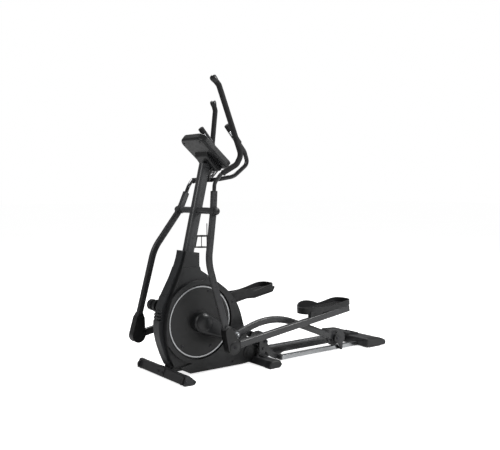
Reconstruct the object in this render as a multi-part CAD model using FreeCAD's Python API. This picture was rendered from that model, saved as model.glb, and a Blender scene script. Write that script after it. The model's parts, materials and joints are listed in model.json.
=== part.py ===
"""Elliptical trainer with a front drive, swing arms, pedal arms and rollers on a rail.

Millimetres. X runs to the rear, Y to the user's right, Z up from the floor. The parts are laid
out with the crank axis at X = 0 and are moved as a whole at the end, so that the origin is the
middle of the footprint on the floor.
"""
import FreeCAD
import Part
import math
import os
from FreeCAD import Vector

# ---- driving dimensions ------------------------------------------------------------------------
CRANK_Z = 302.0           # crank axis above the floor
CRANK_R = 209.7           # crank axis to crank pin
CRANK_REST = -25.3        # angle of the left crank pin, from +X towards +Z
PIVOT = (19.0, 947.0)     # swing arm pivot, X and Z
SWING_R = 787.6           # swing arm pivot to elbow pivot
SWING_REST = {"left": -82.6, "right": -110.7}
PEDAL_REST = {"left": 7.67, "right": 11.21}
KNEE = (530.6, -1.8)      # knee pivot on the pedal arm, along it and above it, from the elbow
LINK_R = 826.4            # crank pin to roller axle
ARCH = (261.0, 132.0)     # top corner of the roller arm, from the crank pin along the pin-roller line
WHEEL_R = 52.7
RAIL_TOP = 37.0
RUNNING_GAP = 0.3         # wheel above rail
ROLLER_Z = RAIL_TOP + RUNNING_GAP + WHEEL_R

# distances out from the middle plane
DISC_Y = 61.0
SHELL_Y = 60.0
SKIRT_Y = 74.0
BOOT_Y = 116.0
PIN_GAP_Y = 118.0         # the crank boss ends here, the crank pin begins 0.5 mm further out
ROLLER_ARM_Y = (137.0, 163.0)
HUB_Y = 178.0             # swing arm hub, middle
ELBOW_Y = 217.0           # elbow and pedal arm, middle
GRIP_Y = 257.0            # moving hand grip, middle
RAIL_Y = (118.0, 142.0)
SHAFT_FIT = 0.05          # radial clearance of a turning fit

DISC_R = 215.0
RIM_IN_R = 218.0
RIM_OUT_R = 243.0
MAST_LEAN = 0.234         # rearward run per unit of height
MAST_X0 = PIVOT[0] - 2.0 - MAST_LEAN * PIVOT[1]
SIDES = ("left", "right")


# ---- plane helpers: points are (X, Z), plates are drawn in the XZ plane and run along Y ----------
def turned(point, degrees):
    """Turn an (x, z) point about the origin, from +X towards +Z."""
    a = math.radians(degrees)
    return (point[0] * math.cos(a) - point[1] * math.sin(a),
            point[0] * math.sin(a) + point[1] * math.cos(a))


def added(p, q):
    return (p[0] + q[0], p[1] + q[1])


def corner_arc(before, corner, after, radius):
    """The arc edge that rounds a corner, for points in space."""
    u = (before - corner).normalize()
    v = (after - corner).normalize()
    half = u.getAngle(v) / 2
    reach = radius / math.tan(half)
    middle = corner + (u + v).normalize() * (radius / math.sin(half) - radius)
    return Part.Arc(corner + u * reach, middle, corner + v * reach).toShape()


def path(points, radii, closed=False):
    """A wire of straight runs joined by tangent arcs; radii belong to the corners."""
    count = len(points)
    edges = []
    inner = range(count) if closed else range(1, count - 1)
    arcs = {i: corner_arc(points[i - 1], points[i], points[(i + 1) % count], radii[i])
            for i in inner if radii[i] > 0}
    last = count if closed else count - 1
    for i in range(last):
        j = (i + 1) % count
        start = arcs[i].Vertexes[-1].Point if i in arcs else points[i]
        end = arcs[j].Vertexes[0].Point if j in arcs else points[j]
        if (end - start).Length > 1e-6:
            edges.append(Part.LineSegment(start, end).toShape())
        if j in arcs and (closed or j < last):
            edges.append(arcs[j])
    return Part.Wire(Part.__sortEdges__(edges))


def outline(points):
    """A closed wire in the XZ plane from (x, z) or (x, z, corner radius)."""
    spots = [Vector(p[0], 0, p[1]) for p in points]
    radii = [p[2] if len(p) > 2 else 0 for p in points]
    return path(spots, radii, closed=True)


def plate(wire, y0, y1):
    face = Part.Face(wire)
    face.translate(Vector(0, y0, 0))
    return face.extrude(Vector(0, y1 - y0, 0))


def slab(points, y0, y1):
    return plate(outline(points), y0, y1)


def rod(centre, radius, y0, y1):
    return Part.makeCylinder(radius, y1 - y0, Vector(centre[0], y0, centre[1]), Vector(0, 1, 0))


def link(c1, r1, c2, r2, y0, y1):
    """A plate round two circles joined by their outer tangents."""
    d = math.hypot(c2[0] - c1[0], c2[1] - c1[1])
    base = math.atan2(c2[1] - c1[1], c2[0] - c1[0])
    lean = math.acos((r1 - r2) / d)

    def on(c, r, a):
        return Vector(c[0] + r * math.cos(a), 0, c[1] + r * math.sin(a))
    edges = [Part.LineSegment(on(c1, r1, base + lean), on(c2, r2, base + lean)).toShape(),
             Part.Arc(on(c2, r2, base + lean), on(c2, r2, base), on(c2, r2, base - lean)).toShape(),
             Part.LineSegment(on(c2, r2, base - lean), on(c1, r1, base - lean)).toShape(),
             Part.Arc(on(c1, r1, base - lean), on(c1, r1, base + math.pi), on(c1, r1, base + lean)).toShape()]
    return plate(Part.Wire(Part.__sortEdges__(edges)), y0, y1)


def block(x0, x1, y0, y1, z0, z1):
    return Part.makeBox(x1 - x0, y1 - y0, z1 - z0, Vector(x0, y0, z0))


def softened(shape, radius, choose):
    """Fillet the edges that the test picks."""
    edges = [e for e in shape.Edges if choose(e)]
    return shape.makeFillet(radius, edges)


def runs_along_y(edge):
    if len(edge.Vertexes) < 2:
        return False
    d = edge.Vertexes[0].Point - edge.Vertexes[-1].Point
    return abs(d.y) > 1 and abs(d.x) < 1e-6 and abs(d.z) < 1e-6


def at_y(y):
    """A test for edges that lie in one plane across the machine."""
    return lambda e: abs(e.BoundBox.YMin - y) < 0.01 and abs(e.BoundBox.YMax - y) < 0.01


def flat_oval(width_x, width_y, corner):
    """A closed section about the origin in the XY plane."""
    a = width_x / 2
    b = width_y / 2
    spots = [Vector(-a, -b, 0), Vector(a, -b, 0), Vector(a, b, 0), Vector(-a, b, 0)]
    return path(spots, [corner] * 4, closed=True)


def finished(pipe, section):
    """Run a sweep and return its solid, facing outwards."""
    pipe.add(section, False, False)
    pipe.build()
    pipe.makeSolid()
    solid = Part.Solid(pipe.shape())
    if solid.Volume < 0:
        solid.reverse()
    return solid


def swept(wire, section):
    """Sweep a section, drawn about the origin in the XY plane, along a path, upright to Y."""
    start = wire.Edges[0].Vertexes[0].Point
    first = wire.Edges[0]
    tangent = first.tangentAt(first.FirstParameter)
    if (first.valueAt(first.FirstParameter) - start).Length > 1e-6:
        tangent = first.tangentAt(first.LastParameter) * -1
    across = Vector(0, 1, 0)
    side = across.cross(tangent).normalize()
    across = tangent.cross(side).normalize()
    placed = section.copy()
    placed.Placement = FreeCAD.Placement(start, FreeCAD.Rotation(side, across, tangent, "ZXY"))
    pipe = Part.BRepOffsetAPI.MakePipeShell(wire)
    pipe.setBiNormalMode(Vector(0, 1, 0))
    return finished(pipe, placed)


def round_sweep(points, radii, radius):
    """A round bar along straight runs joined by arcs."""
    wire = path(points, radii)
    start = points[0]
    direction = (points[1] - points[0]).normalize()
    circle = Part.Wire(Part.makeCircle(radius, start, direction))
    pipe = Part.BRepOffsetAPI.MakePipeShell(wire)
    return finished(pipe, circle)


def mirrored(shape):
    return shape.mirror(Vector(0, 0, 0), Vector(0, 1, 0))


def on_side(shape, side):
    """Shapes are drawn on the right, where Y is positive."""
    return mirrored(shape) if side == "left" else shape


def both(shape):
    return Part.makeCompound([shape, mirrored(shape)])


def in_frame(shape, origin, degrees):
    """Place a shape drawn along +X about the origin at a pivot and an angle."""
    moved = shape.copy()
    moved.rotate(Vector(0, 0, 0), Vector(0, -1, 0), degrees)
    moved.translate(Vector(origin[0], 0, origin[1]))
    return moved


# ---- linkage points -------------------------------------------------------------------------------
def crank_pin(side):
    reach = CRANK_R if side == "left" else -CRANK_R
    return added((0, CRANK_Z), turned((reach, 0), CRANK_REST))


def elbow(side):
    return added(PIVOT, turned((SWING_R, 0), SWING_REST[side]))


def roller(side):
    pin = crank_pin(side)
    drop = pin[1] - ROLLER_Z
    return (pin[0] + math.sqrt(LINK_R ** 2 - drop ** 2), ROLLER_Z)


def roller_arm_angle(side):
    pin = crank_pin(side)
    wheel = roller(side)
    return math.degrees(math.atan2(wheel[1] - pin[1], wheel[0] - pin[0]))


def mast_x(z):
    return MAST_X0 + MAST_LEAN * z


# ---- frame -------------------------------------------------------------------------------------------
BEAM_Z = (22.0, 62.0)
BEAM_HALF = 27.0
BEARING_R = 34.0
AXLE_R = 13.0
FLYWHEEL = (166.0, 330.0)
FLYWHEEL_R = 92.0
SHAFT_R = 9.0
FRONT_BEAM_X = (-238.0, -152.0)
MID_BEAM_X = (356.0, 462.0)
REAR_BEAM_X = (1232.0, 1420.0)


def base_frame():
    """Main beam, crank bearing shell on its post, flywheel cheeks and mast socket."""
    beam = block(-184, MID_BEAM_X[0], -BEAM_HALF, BEAM_HALF, *BEAM_Z)
    beam = beam.cut(block(-181, MID_BEAM_X[0] - 3, -BEAM_HALF + 3, BEAM_HALF - 3, BEAM_Z[0] + 3, BEAM_Z[1] - 3))
    post = block(-22, 22, -20, 20, BEAM_Z[1] - 1, CRANK_Z)
    shell = rod((0, CRANK_Z), BEARING_R, -42, 42)
    solid = beam.fuse([post, shell])
    for y in (-36.0, 30.0):
        solid = solid.fuse(link(FLYWHEEL, 20, (FLYWHEEL[0], BEAM_Z[1] + 20), 34, y, y + 6))
        solid = solid.fuse(block(FLYWHEEL[0] - 34, FLYWHEEL[0] + 34, min(y, 24), max(y + 6, -24),
                                 BEAM_Z[1] - 8, BEAM_Z[1] + 1))
    socket = slab([(-160, BEAM_Z[1] - 1), (-90, BEAM_Z[1] - 1), (-124, MAST_FOOT), (-200, MAST_FOOT)], -24, 24)
    solid = solid.fuse(socket).cut(rod((0, CRANK_Z), 26, -50, 50))
    return solid.cut(rod(FLYWHEEL, SHAFT_R + SHAFT_FIT, -50, 50)).removeSplitter()


def crank_bearings():
    ring = rod((0, CRANK_Z), 26, 26, 42).cut(rod((0, CRANK_Z), AXLE_R + SHAFT_FIT, 20, 50))
    return both(ring)


def mast_line(z0, z1, grow=0.0):
    """The solid flat-oval outline of the mast between two heights."""
    low = z0 - 30
    high = z1 + 30
    line = Part.LineSegment(Vector(mast_x(low), 0, low), Vector(mast_x(high), 0, high)).toShape()
    body = swept(Part.Wire(line), flat_oval(68 + 2 * grow, 50 + 2 * grow, 22 + grow))
    return body.common(block(-400, 400, -60, 60, z0, z1))


MAST_FOOT = 170.0
MAST_TOP = 1222.0


def mast():
    """Flat-oval post from its socket to the console, with the cross sleeve of the swing axle."""
    post = mast_line(MAST_FOOT, MAST_TOP).cut(mast_line(MAST_FOOT - 1, MAST_TOP - 4, -3))
    sleeve = rod(PIVOT, 19, -158, 158)
    return post.fuse(sleeve).cut(rod(PIVOT, 12, -200, 200)).removeSplitter()


def pivot_axle():
    """Swing axle: a rod through the sleeve with a round cap at each end."""
    bar = rod(PIVOT, 12, -204, 204)
    for y in (-212.0, 204.0):
        bar = bar.fuse(rod(PIVOT, 20, y, y + 8))
    return bar.removeSplitter()


def stabilizer_profile(inset=0.0):
    x0 = FRONT_BEAM_X[0] + inset
    return [(x0, 6 + inset, 4), (x0 + 18, 57 - inset, 9), (x0 + 38, 58 - inset, 12),
            (FRONT_BEAM_X[1] - inset, 18 + inset, 8), (FRONT_BEAM_X[1] - 14, 3 + inset, 6),
            (x0 + 14, 3 + inset, 6)]


def front_stabilizer():
    """Wedge-shaped cross beam with a saddle plate and the seat that holds the main beam."""
    beam = slab(stabilizer_profile(1.5), -222, 222)
    saddle = slab(stabilizer_profile(-2.5), -38, 38).common(block(-260, -150, -40, 40, 16, 80))
    seat = slab([(-196, 40), (-160, 50), (-152, 22), (-184, 22)], -40, 40)
    solid = beam.fuse([saddle, seat]).cut(block(-184, 0, -BEAM_HALF, BEAM_HALF, *BEAM_Z))
    return solid.cut(slab(stabilizer_profile(5), -219, 219)).removeSplitter()


TRANSPORT_AXLE = (-222.0, 27.0)
TRANSPORT_R = 22.0


def front_feet():
    """End caps of the front beam, each with a slot and an axle for its transport wheel."""
    cap = slab(stabilizer_profile(), 222, 262)
    cap = cap.cut(slab(stabilizer_profile(7), 259, 270))
    cap = cap.cut(rod(TRANSPORT_AXLE, TRANSPORT_R + 3, 232, 252))
    pad = slab([(-196, 0), (-196, 8), (-170, 8), (-170, 0)], 228, 258)
    return both(cap.fuse([pad, rod(TRANSPORT_AXLE, 5, 230, 254)]).removeSplitter())


def transport_wheel(side):
    wheel = rod(TRANSPORT_AXLE, TRANSPORT_R, 234, 250)
    return on_side(wheel.cut(rod(TRANSPORT_AXLE, 5 + SHAFT_FIT, 230, 255)), side)


def mid_profile(inset=0.0):
    x0 = MID_BEAM_X[0] + inset
    x1 = MID_BEAM_X[1] - inset
    return [(x0, 4 + inset, 5), (x0 + 24, 48 - inset, 14), (x1 - 18, 48 - inset, 12),
            (x1, 22, 10), (x1 - 10, 4 + inset, 5)]


def mid_stabilizer():
    beam = slab(mid_profile(1.5), -215, 215).cut(slab(mid_profile(4.5), -212, 212))
    seat = block(MID_BEAM_X[0], MID_BEAM_X[0] + 30, -BEAM_HALF, BEAM_HALF, *BEAM_Z)
    return beam.fuse(seat).removeSplitter()


def rear_profile(inset=0.0):
    x0 = REAR_BEAM_X[0] + inset
    x1 = REAR_BEAM_X[1] - inset
    return [(x0, 4 + inset, 4), (x0 + 2, 66 - inset, 14), (x0 + 134, 57 - inset, 60),
            (x1, 34, 20), (x1 - 6, 4 + inset, 10)]


def rear_stabilizer():
    """Rear cross beam with a raised block in the middle: takes the rails on its front face."""
    block_profile = [(1237, 50), (1239, 76, 8), (1330, 70, 12), (1346, 46)]
    beam = slab(rear_profile(1.5), -182, 182).cut(slab(rear_profile(5), -179, 179))
    return beam.fuse(slab(block_profile, -46, 46)).removeSplitter()


def end_caps():
    """Plastic end caps with foot pads on the mid and rear cross beams."""
    caps = []
    for profile, inner, outer, pad in ((mid_profile(), 215, 262, (372, 446)),
                                       (rear_profile(), 182, 229, (1262, 1372))):
        cap = softened(slab(profile, inner, outer), 8, at_y(outer))
        foot = block(pad[0], pad[1], inner + 8, outer - 8, 0, 8)
        cap = cap.fuse(foot).removeSplitter()
        caps += [cap, mirrored(cap)]
    return Part.makeCompound(caps)


RAIL_X = (560.0, 1233.5)
RAIL_BOTTOM = 7.0


def slide_rails():
    """Two rectangular rail tubes with rounded corners."""
    y0, y1 = RAIL_Y
    outer = softened(block(RAIL_X[0], RAIL_X[1], y0, y1, RAIL_BOTTOM, RAIL_TOP), 4, along_x)
    inner = block(RAIL_X[0] + 2, RAIL_X[1], y0 + 2.5, y1 - 2.5, RAIL_BOTTOM + 2.5, RAIL_TOP - 2.5)
    return both(outer.cut(inner))


def along_x(edge):
    d = edge.Vertexes[0].Point - edge.Vertexes[-1].Point
    return abs(d.x) > 1 and abs(d.y) < 1e-6 and abs(d.z) < 1e-6


def rail_beam():
    """Middle beam between the mid and rear stabilizers, with a tapered gusset wing on each side."""
    outer = softened(block(MID_BEAM_X[1] - 1.5, RAIL_X[1], -20, 20, 20, 57), 5, along_x)
    outer = outer.cut(slab(mid_profile(1.5), -30, 30))
    tube = outer.cut(block(MID_BEAM_X[1] + 4, RAIL_X[1], -17, 17, 23, 54))
    return Part.makeCompound([tube] + gusset_wings())


def gusset_wings():
    """Two flat wings on the middle beam between the rails, narrowing to the rear."""
    points = [Vector(500, 20, 30), Vector(500, 102, 30), Vector(556, 102, 30), Vector(700, 20, 30)]
    wing = Part.Face(path(points, [0, 0, 16, 0], closed=True)).extrude(Vector(0, 0, 5))
    return [wing, mirrored(wing)]


def rail_brackets():
    """Curved side bars that carry the rails' front ends, and the round tube between them."""
    edges = [Part.LineSegment(Vector(404, 0, 48), Vector(404, 0, 146)).toShape(),
             Part.Arc(Vector(404, 0, 146), Vector(410, 0, 158), Vector(424, 0, 162)).toShape(),
             Part.LineSegment(Vector(424, 0, 162), Vector(458, 0, 162)).toShape(),
             Part.Arc(Vector(458, 0, 162), Vector(494, 0, 79), Vector(578, 0, 38)).toShape(),
             Part.LineSegment(Vector(578, 0, 38), Vector(578, 0, 8)).toShape(),
             Part.LineSegment(Vector(578, 0, 8), Vector(556, 0, 8)).toShape(),
             Part.Arc(Vector(556, 0, 8), Vector(486, 0, 36), Vector(452, 0, 74)).toShape(),
             Part.LineSegment(Vector(452, 0, 74), Vector(440, 0, 48)).toShape(),
             Part.LineSegment(Vector(440, 0, 48), Vector(404, 0, 48)).toShape()]
    wall = plate(Part.Wire(Part.__sortEdges__(edges)), 104, 110)
    flange = slab([(404, 48), (404, 54), (446, 54), (442, 48)], 110, 150)
    shoe = block(548, 560, 110, 142, 8, 36).fuse(block(548, 578, 110, 117.8, 8, 36))
    bracket = wall.fuse([flange, shoe, rod((452, 132), 9, 109, 117)])
    bracket = bracket.cut(slab(mid_profile(1.5), 90, 200)).removeSplitter()
    return Part.makeCompound([bracket, mirrored(bracket), rod((446, 116), 15, -104, 104)])


# ---- housing ------------------------------------------------------------------------------------------
FRONT_CURVE = [(-186, 60), (-238, 184), (-257, 300), (-243, 386), (-168, 540), (-97, 717)]
SEAM_CURVE = [(-174, 60), (-215, 184), (-227, 300), (-213, 388), (-150, 540), (-84, 717)]
NOSE_HALF = 32.0
NOSE_SPLIT_Z = 468.0
WALL = 3.0
REAR_CAP = (356.0, 75.0)
REAR_CAP_R = 62.0


def curve(points):
    """A smooth curve through a few points in the XZ plane."""
    spline = Part.BSplineCurve()
    spline.interpolate([Vector(x, 0, z) for x, z in points])
    return spline.toShape()


def joined(pieces):
    """A closed wire from pieces of outline: lists of points, joined end to end."""
    edges = []
    for kind, points in pieces:
        if kind == "curve":
            edges.append(curve(points))
        elif kind == "arc":
            edges.append(Part.Arc(*[Vector(x, 0, z) for x, z in points]).toShape())
        else:
            edges += [Part.LineSegment(Vector(a[0], 0, a[1]), Vector(b[0], 0, b[1])).toShape()
                      for a, b in zip(points, points[1:])]
    return Part.Wire(Part.__sortEdges__(edges))


def on_circle(radius, degrees, centre=(0, CRANK_Z)):
    return added(centre, turned((radius, 0), degrees))


NECK_REAR_X = 7.0


def inset(points, d):
    """Move the corners of a closed outline inwards by d, keeping its corners sharp."""
    moved = []
    count = len(points)
    for i in range(count):
        before, here, after = points[i - 1], points[i], points[(i + 1) % count]
        u = Vector(here[0] - before[0], 0, here[1] - before[1]).normalize()
        v = Vector(after[0] - here[0], 0, after[1] - here[1]).normalize()
        n = Vector(u.z, 0, -u.x) + Vector(v.z, 0, -v.x)
        reach = 2 * d / n.Length
        n.normalize()
        moved.append((here[0] + n.x * reach, here[1] + n.z * reach))
    return moved


def housing_face(d=0.0):
    """Side view of the whole lower housing with the neck; d moves it inwards for a wall."""
    front = SEAM_CURVE
    neck = [(NECK_REAR_X, 702), (NECK_REAR_X, 628), (14, 600)]
    back = [(52, 576), (110, 532), (196, 466), (268, 372), (312, 240), (340, 160)]
    cap = [on_circle(REAR_CAP_R, a, REAR_CAP) for a in (52, 10, -35, -90)]
    points = front + neck + back + cap + [(300, 9), (-72, 9), (-140, 52)]
    points = inset(points, d)
    nf, nn, nb = len(front), len(neck), len(back)
    knee = nf + nn
    tail = knee + nb
    return joined([("curve", points[:nf]), ("line", points[nf - 1:knee + 1]),
                   ("curve", points[knee:tail]), ("line", points[tail - 1:tail + 1]),
                   ("curve", points[tail:tail + 4]), ("line", points[tail + 3:] + [points[0]])])


def above_seam(y0, y1):
    """Everything above the seam between housing and neck cover, which follows the disc rim."""
    whole = block(-400, 120, y0, y1, NOSE_SPLIT_Z, 800)
    return whole.cut(rod((0, CRANK_Z), RIM_OUT_R + 2, y0 - 1, y1 + 1))


def housing(side):
    """One half of the lower housing: thin wall, raised rim and skirt, hole for the crank axle."""
    wire = housing_face()
    beam = block(-400, MID_BEAM_X[0], -BEAM_HALF - 1, BEAM_HALF + 1, BEAM_Z[0] - 1, BEAM_Z[1] + 1)
    shell = plate(wire, 0, SHELL_Y)
    raised = plate(wire, SHELL_Y, SKIRT_Y).cut(rod((0, CRANK_Z), RIM_IN_R, 0, 200))
    recess = slab([(-62, 66), (-150, 50), (-400, 50), (-400, 760), (60, 760), (60, 560), (-60, 500)], 0, 200)
    recess = recess.cut(rod((0, CRANK_Z), RIM_OUT_R, -10, 210))
    raised = raised.cut(recess.common(block(-500, 130, SHELL_Y, 300, 0, 900)))
    shell = shell.fuse(raised).removeSplitter()
    shell = shell.cut(plate(housing_face(WALL), -1, SHELL_Y - WALL))
    shell = shell.cut([rod((0, CRANK_Z), 40, 0, 200), beam, slab(mid_profile(-1.0), -1, 200)])
    shell = shell.cut(above_seam(-1, 200))
    return on_side(shell, side)


def neck_covers():
    """The narrower upper halves round the foot of the mast."""
    cover = plate(housing_face(), 0, 50).cut(plate(housing_face(WALL), -1, 50 - WALL))
    step = plate(housing_face(), 50, 55).common(block(-400, 300, 50, 55, 400, 620))
    cover = cover.fuse(step).removeSplitter().common(above_seam(0, 60))
    return both(cover.cut(mast_line(640, 760, 1.0)))


def nose(z0, z1):
    """A stretch of the front strip."""
    side_view = joined([("curve", FRONT_CURVE), ("line", [FRONT_CURVE[-1], SEAM_CURVE[-1]]),
                        ("curve", SEAM_CURVE), ("line", [FRONT_CURVE[0], SEAM_CURVE[0]])])
    outer = plate(side_view, -NOSE_HALF, NOSE_HALF)
    return outer.common(block(-400, 100, -50, 50, z0, z1))


def nose_cover():
    """Lower front strip with five vent slots."""
    strip = nose(64, NOSE_SPLIT_Z - 1)
    for i in range(5):
        z = 330 + 18 * i
        strip = strip.cut([block(-300, -238, 4, 40, z, z + 7), block(-300, -238, -40, -4, z, z + 7)])
    return strip


def neck_front_cover():
    return nose(NOSE_SPLIT_Z + 1, 717)


def hub_caps():
    """Round covers on the rear corners of the housing."""
    cap = rod(REAR_CAP, 47, SKIRT_Y, SKIRT_Y + 5)
    cap = softened(cap, 3, at_y(SKIRT_Y + 5))
    return both(cap.cut(slab(mid_profile(-1), 60, 90)))


# ---- crank, discs and drive -----------------------------------------------------------------------------
PULLEY_R = 98.0
BELT_Y = (44.0, 54.0)
FLYWHEEL_PULLEY_R = 14.0
BELT_T = 2.0
BELT_GAP = 0.3


def crank_axle():
    return rod((0, CRANK_Z), AXLE_R, -104, 104)


def drive_pulley():
    wheel = rod((0, CRANK_Z), PULLEY_R, *BELT_Y).cut(rod((0, CRANK_Z), AXLE_R, 0, 90))
    for i in range(6):
        hole = on_circle(58, 60 * i)
        wheel = wheel.cut(rod(hole, 20, 0, 90))
    return wheel


def crank_arms():
    """Forged arms on the axle ends, each with a boss that stops short of the roller arm."""
    arms = []
    for side in SIDES:
        pin = crank_pin(side)
        arm = link((0, CRANK_Z), 27, pin, 23, 84, 104).cut(rod((0, CRANK_Z), AXLE_R, 0, 200))
        arm = arm.fuse(rod(pin, 18, 100, PIN_GAP_Y)).removeSplitter()
        arms.append(on_side(arm, side))
    return Part.makeCompound(arms)


def crank_discs():
    """Large side discs that turn with the crank."""
    disc = rod((0, CRANK_Z), DISC_R, DISC_Y, DISC_Y + 5).cut(rod((0, CRANK_Z), AXLE_R, 0, 100))
    return both(softened(disc, 1.5, at_y(DISC_Y + 5)))


RING_R = (201.5, 208.0)


def disc_rings():
    """Bright trim rings near the rims of the discs."""
    y0 = DISC_Y + 5
    return both(rod((0, CRANK_Z), RING_R[1], y0, y0 + 2).cut(rod((0, CRANK_Z), RING_R[0], y0 - 1, y0 + 5)))


def crank_boot(side):
    """Teardrop cover over a crank arm."""
    pin = crank_pin(side)
    y0 = DISC_Y + 5
    boot = softened(link((0, CRANK_Z), 62, pin, 38, y0, BOOT_Y), 22, at_y(BOOT_Y))
    boot = boot.cut([link((0, CRANK_Z), 30, pin, 26, y0, 106), rod(pin, 19, 90, 130)])
    over_ring = rod((0, CRANK_Z), RING_R[1] + 1, y0 - 1, y0 + 3).cut(rod((0, CRANK_Z), RING_R[0] - 1, y0 - 1, y0 + 3))
    over_rim = rod((0, CRANK_Z), 300, y0 - 1, SKIRT_Y + 2).cut(rod((0, CRANK_Z), RIM_IN_R - 2, y0 - 1, 90))
    return on_side(boot.cut([over_ring, over_rim]).removeSplitter(), side)


def flywheel():
    """Flywheel disc with a heavy rim."""
    rim = rod(FLYWHEEL, FLYWHEEL_R, -17, 17)
    for y in (-17.0, 6.0):
        pocket = rod(FLYWHEEL, FLYWHEEL_R - 22, y, y + 11).cut(rod(FLYWHEEL, 24, y, y + 11))
        rim = rim.cut(pocket)
    return rim.cut(rod(FLYWHEEL, SHAFT_R, -60, 60)).removeSplitter()


def flywheel_axle():
    """Shaft that turns in the cheeks, with the small belt pulley on its right end."""
    pulley = rod(FLYWHEEL, FLYWHEEL_PULLEY_R, 36.6, BELT_Y[1])
    return rod(FLYWHEEL, SHAFT_R, -40, 55).fuse(pulley).removeSplitter()


def drive_belt():
    """Flat belt round both pulleys, standing off them by a hair."""
    r1 = PULLEY_R + BELT_GAP
    r2 = FLYWHEEL_PULLEY_R + BELT_GAP
    y0, y1 = BELT_Y
    outer = link((0, CRANK_Z), r1 + BELT_T, FLYWHEEL, r2 + BELT_T, y0 + 1, y1 - 1)
    return outer.cut(link((0, CRANK_Z), r1, FLYWHEEL, r2, y0, y1))


# ---- swing arms ---------------------------------------------------------------------------------------
ELBOW_PIN_R = 9.0
CHEEKS = ((196.5, 204.5), (229.5, 237.5))
COLLAR_Z = 113.0
SWING_DRAWN = SWING_REST["left"]


def place_swing(shape, side):
    """Swing pieces are drawn in the left arm's rest attitude, about the pivot."""
    moved = in_frame(shape, PIVOT, SWING_REST[side] - SWING_DRAWN)
    return on_side(moved, side)


def swing_line():
    spots = [Vector(-3.8, 189, COLLAR_Z), Vector(-1.5, HUB_Y, 0), Vector(-45, 192, -286.5),
             Vector(66, ELBOW_Y, -702)]
    return path(spots, [0, 400, 260, 0])


def swing_arm(side):
    """Flat-oval arm: collar, hub on the axle, bend, and a clevis with the elbow pin."""
    e = turned((SWING_R, 0), SWING_DRAWN)
    line = swing_line()
    tube = swept(line, flat_oval(40, 25, 10)).cut(swept(line, flat_oval(34, 19, 7)))
    foot, bend = handle_spots()[:2]
    tube = tube.fuse(round_sweep([foot - (bend - foot) * 0.05, foot + (bend - foot) * 0.57], [0, 0], 12.3))
    tube = tube.cut(round_sweep([foot, foot + (bend - foot) * 0.7], [0, 0], 11.2))
    hub = rod((0, 0), 23, HUB_Y - 19, HUB_Y + 25)
    for y0, y1 in CHEEKS:
        tube = tube.fuse(link((60, -672), 20, e, 27, y0, y1))
    tube = tube.fuse([hub, rod(e, ELBOW_PIN_R, CHEEKS[0][0], CHEEKS[1][1])])
    tube = tube.cut(rod((0, 0), 12 + SHAFT_FIT, 0, 300))
    tube = tube.cut(rod(e, 30, CHEEKS[0][1], CHEEKS[1][0]).cut(rod(e, ELBOW_PIN_R, 0, 300)))
    return place_swing(tube.removeSplitter(), side)


def elbow_cover(side):
    """Plastic shell round the elbow: two side plates and a front wall, open to the rear."""
    e = turned((SWING_R, 0), SWING_DRAWN)
    top = (66.0, -690.0)
    cover = link(e, 43, top, 27, CHEEKS[1][1], CHEEKS[1][1] + 5)
    cover = softened(cover, 3, at_y(CHEEKS[1][1] + 5))
    inner = link(e, 43, top, 27, CHEEKS[0][0] - 5, CHEEKS[0][0])
    wall = link(e, 43, top, 27, CHEEKS[0][0], CHEEKS[1][1])
    wall = wall.cut([link(e, 38, top, 24, 190, 240), link((60, -672), 21, e, 28, 190, 240)])
    wall = wall.cut(slab([(e[0] - 12, e[1] - 60), (e[0] + 90, e[1] - 60), (e[0] + 90, e[1] + 150),
                          (top[0], top[1] + 30), (top[0] + 2, top[1])], 190, 240))
    cover = cover.fuse([inner, wall]).removeSplitter()
    return place_swing(cover.cut(swept(swing_line(), flat_oval(41, 26, 10.5))), side)


HANDLE = [((-2.7, 50), 183), ((-4.6, 158), 195), ((18, 208), 226), ((104, 262), 256), ((136, 316), GRIP_Y),
          ((-16, 695), GRIP_Y), ((-50, 728), GRIP_Y)]


def handle_spots():
    return [Vector(x, y, z) for (x, z), y in HANDLE]


def handlebar(side):
    """Bent tube from the collar to the foot of the grip."""
    spots = handle_spots()
    bar = round_sweep(spots[:3] + [spots[2] + (spots[3] - spots[2]) * 0.12], [0, 60, 30, 0], 11)
    return place_swing(bar, side)


def hand_grip(side):
    """Foam sleeve over the upper handlebar, through its bend to the rounded top."""
    spots = handle_spots()
    start = spots[2] + (spots[3] - spots[2]) * 0.12
    line = [start] + spots[3:]
    grip = round_sweep(line, [0, 45, 55, 30, 0], 16)
    cap = Part.makeSphere(16, line[-1])
    return place_swing(grip.fuse(cap).removeSplitter(), side)


# ---- pedal arms ----------------------------------------------------------------------------------------
PEDAL_ARM_Y = (202.0, 232.0)
PEDAL_ARM_END = 945.0
PEDAL_Y = (84.0, 234.0)
PEDAL_U = (585.0, 985.0)
PEDAL_TILT = -4.7
PEDAL_TOP = 70.0          # top of the tread above the arm's middle line, at the pedal's front


def place_pedal(shape, side):
    """Pedal pieces are drawn along +X from the elbow pivot."""
    return on_side(in_frame(shape, elbow(side), PEDAL_REST[side]), side)


def pedal_arm(side):
    """Rectangular tube with the elbow hub in front and the knee pin on its inner face."""
    y0, y1 = PEDAL_ARM_Y
    tube = softened(block(50, PEDAL_ARM_END, y0, y1, -21.5, 21.5), 8, along_x)
    tube = tube.cut(block(58, PEDAL_ARM_END - 3, y0 + 2.5, y1 - 2.5, -19, 19))
    hub = rod((0, 0), 24, 205.5, 228.5).fuse(block(0, 60, 205.5, 228.5, -17, 17))
    knee = rod(KNEE, 11, ROLLER_ARM_Y[1] + 7.5, y0 + 2)
    arm = tube.fuse([hub, knee, rod(KNEE, 16, y0 - 6, y0 + 2)])
    return place_pedal(arm.cut(rod((0, 0), ELBOW_PIN_R + SHAFT_FIT, 190, 250)).removeSplitter(), side)


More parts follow.
